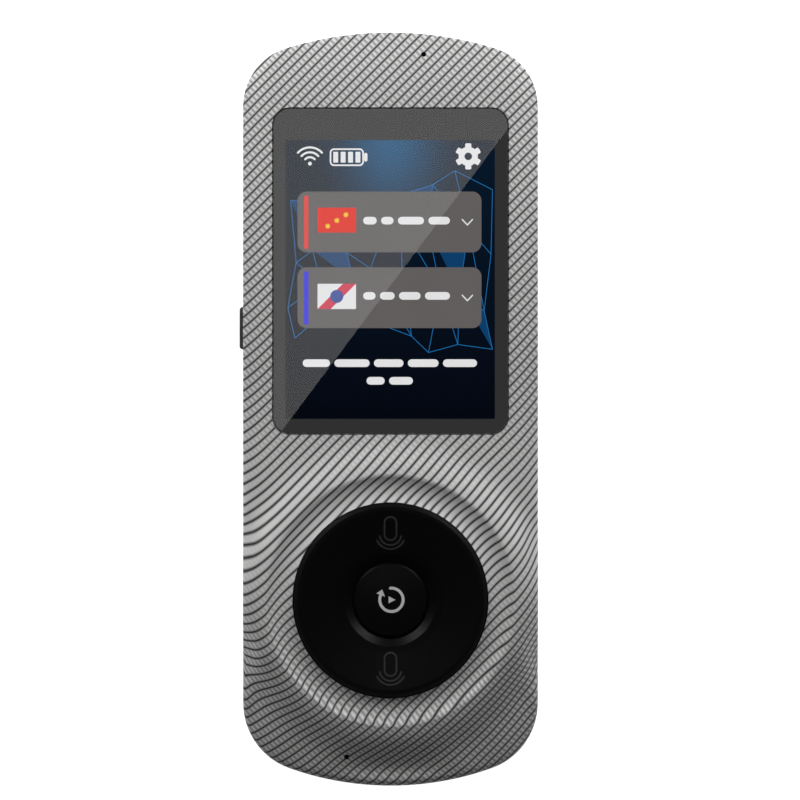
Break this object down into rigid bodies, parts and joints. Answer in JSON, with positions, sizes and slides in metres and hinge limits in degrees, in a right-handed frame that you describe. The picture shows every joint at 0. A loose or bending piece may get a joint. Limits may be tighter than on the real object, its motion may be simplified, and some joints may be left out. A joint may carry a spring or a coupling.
{
  "type": "handheld translator",
  "caption": "Slim handheld translator with a touch screen above a rocking ring key and centre button, a side key and a charging port in its lower end.",
  "frame": {"origin": "on the flat back face, in the middle of the body's outline", "axes": "+X across the width towards the side without the key, +Y along the length to the top end above the screen, +Z out of the screen"},
  "size_m": [0.0525, 0.1322, 0.0138],
  "materials": {
    "housing": "grey metallic paint with fine diagonal lines",
    "cover_glass": "clear, polished, printed black on the back",
    "tape": "thin black tape",
    "touch_film": "clear film",
    "display_glass": "laminated display glass with a polariser",
    "clear_acrylic": "polished clear acrylic",
    "tray_steel": "thin folded steel",
    "flat_cable": "amber film",
    "connector": "moulded",
    "foam": "open foam",
    "dial": "black, satin gloss",
    "moulded_black": "moulded",
    "spring_steel": "sprung sheet",
    "circuit_board": "green solder mask",
    "chip": "moulded package",
    "screw_steel": "blackened",
    "cell_foil": "laminated foil",
    "speaker_film": "thin film",
    "dust_mesh": "fine woven mesh",
    "contact_metal": "plated sheet",
    "microphone_can": "plated can",
    "boot_rubber": "soft",
    "side_key": "satin"
  },
  "bodies": {
    "housing": {"front_housing": "housing", "rear_cover": "housing", "screen_glass": "cover_glass", "screen_adhesive": "tape", "battery_pad": "tape", "touch_sensor": "touch_film", "lcd_panel": "display_glass", "light_guide": "clear_acrylic", "backlight_tray": "tray_steel", "processor_shield": "tray_steel", "speaker_magnet": "tray_steel", "socket_shell": "tray_steel", "display_ribbon": "flat_cable", "touch_ribbon": "flat_cable", "battery_ribbon": "flat_cable", "display_connector": "connector", "touch_connector": "connector", "battery_connector": "connector", "socket_tongue": "connector", "display_cushion": "foam", "speaker_gasket": "foam", "dial_carrier": "moulded_black", "speaker_frame": "moulded_black", "side_switch": "moulded_black", "upper_talk_dome": "spring_steel", "lower_talk_dome": "spring_steel", "centre_dome": "spring_steel", "main_board": "circuit_board", "battery_protection_board": "circuit_board", "processor_chip": "chip", "memory_chip": "chip", "power_chip": "chip", "fixing_screws": "screw_steel", "battery_cell": "cell_foil", "speaker_cone": "speaker_film", "speaker_mesh": "dust_mesh", "speaker_contacts": "contact_metal", "antenna_film": "contact_metal", "upper_microphone": "microphone_can", "lower_microphone": "microphone_can", "upper_microphone_boot": "boot_rubber", "lower_microphone_boot": "boot_rubber"},
    "talk_ring_body": {"talk_ring": "dial"},
    "centre_button_body": {"centre_button": "dial"},
    "side_key_body": {"side_key_cap": "side_key", "side_switch_plunger": "moulded_black"}
  },
  "joints": [
    {"name": "talk_ring_rock", "type": "hinge", "parent": "housing", "child": "talk_ring_body", "pos_m": [0, -0.03355, 0.0095], "axis": [1, 0, 0], "range_deg": [-1.5, 1.5], "stiffness_Nm_per_rad": 0.4, "deforming": ["upper_talk_dome", "lower_talk_dome"]},
    {"name": "centre_button_press", "type": "slide", "parent": "housing", "child": "centre_button_body", "axis": [0, 0, -1], "range_m": [0, 0.0003], "stiffness_N_per_m": 2000, "deforming": ["centre_dome"]},
    {"name": "side_key_press", "type": "slide", "parent": "housing", "child": "side_key_body", "axis": [1, 0, 0], "range_m": [0, 0.0003], "stiffness_N_per_m": 2000}
  ]
}
